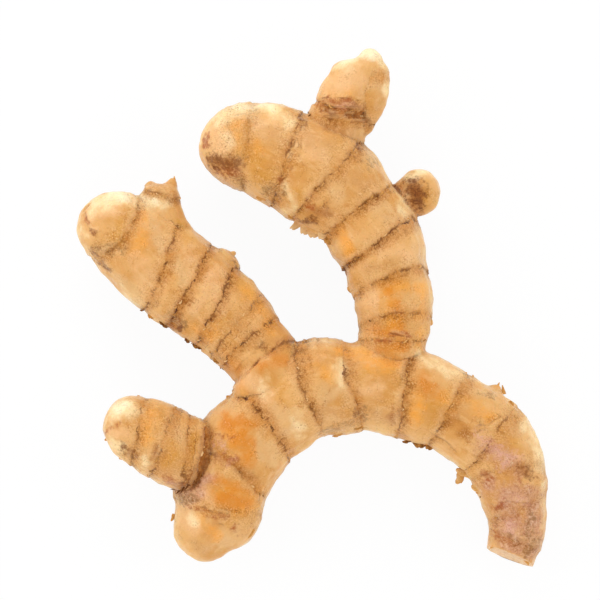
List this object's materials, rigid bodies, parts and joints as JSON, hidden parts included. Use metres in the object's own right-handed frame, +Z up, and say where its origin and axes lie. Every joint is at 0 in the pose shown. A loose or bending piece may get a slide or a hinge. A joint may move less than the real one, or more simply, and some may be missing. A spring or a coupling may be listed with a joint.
{
  "type": "turmeric root",
  "caption": "Fresh turmeric rhizome: a curved ringed mother root with long fingers and round buds, lying flat.",
  "frame": {"origin": "on the table, under the middle of the rhizome's overall box", "axes": "+Z up from the table, +Y from the mother rhizome towards the tips of the long fingers, +X to the right"},
  "size_m": [0.1014, 0.111, 0.021],
  "materials": {
    "skin": "matt"
  },
  "bodies": {
    "root": {"rhizome": "skin"}
  },
  "joints": []
}
